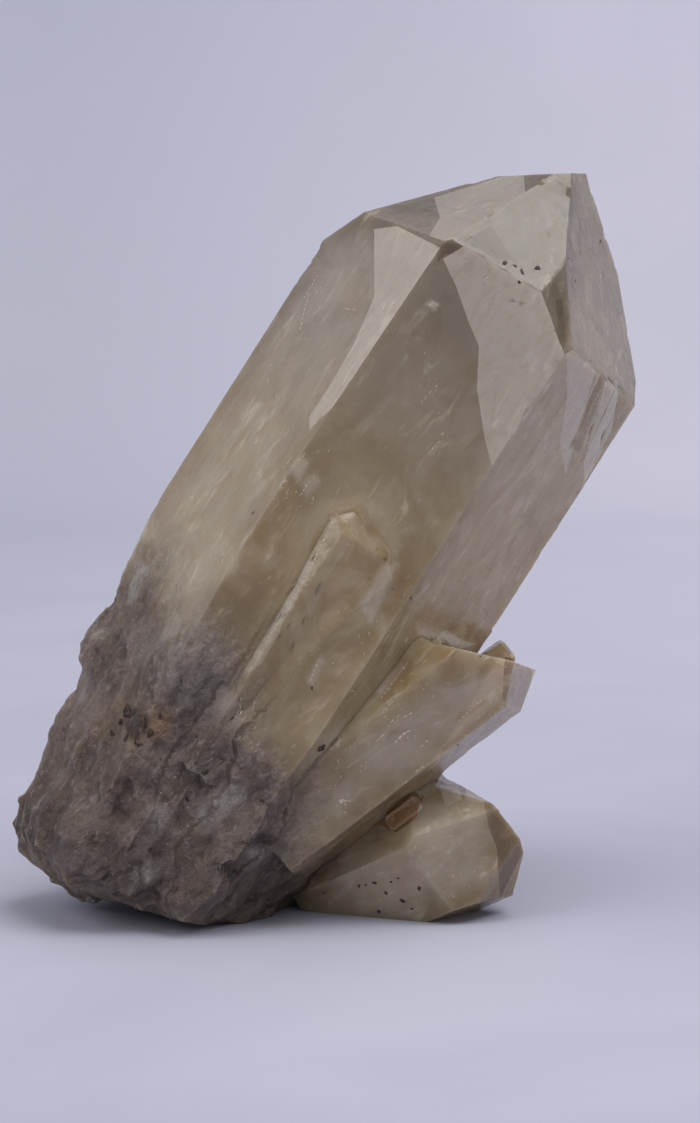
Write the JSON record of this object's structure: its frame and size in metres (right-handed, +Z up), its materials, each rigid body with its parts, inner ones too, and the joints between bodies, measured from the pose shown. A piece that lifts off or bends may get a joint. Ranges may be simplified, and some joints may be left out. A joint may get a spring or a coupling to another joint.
{
  "type": "citrine crystal point",
  "caption": "Leaning six-sided smoky citrine crystal with a pointed end, small side crystals and a rough milky root it rests on.",
  "frame": {"origin": "on the resting surface, under the middle of the specimen as it stands", "axes": "+Z up as it stands, +X to the side that the point leans to, -Y to the front"},
  "size_m": [0.0665, 0.0364, 0.0776],
  "materials": {
    "smoky_citrine": "glassy natural crystal faces, grading to a rough, milky, lilac-grey broken root"
  },
  "bodies": {
    "root": {"citrine_crystal": "smoky_citrine"}
  },
  "joints": []
}
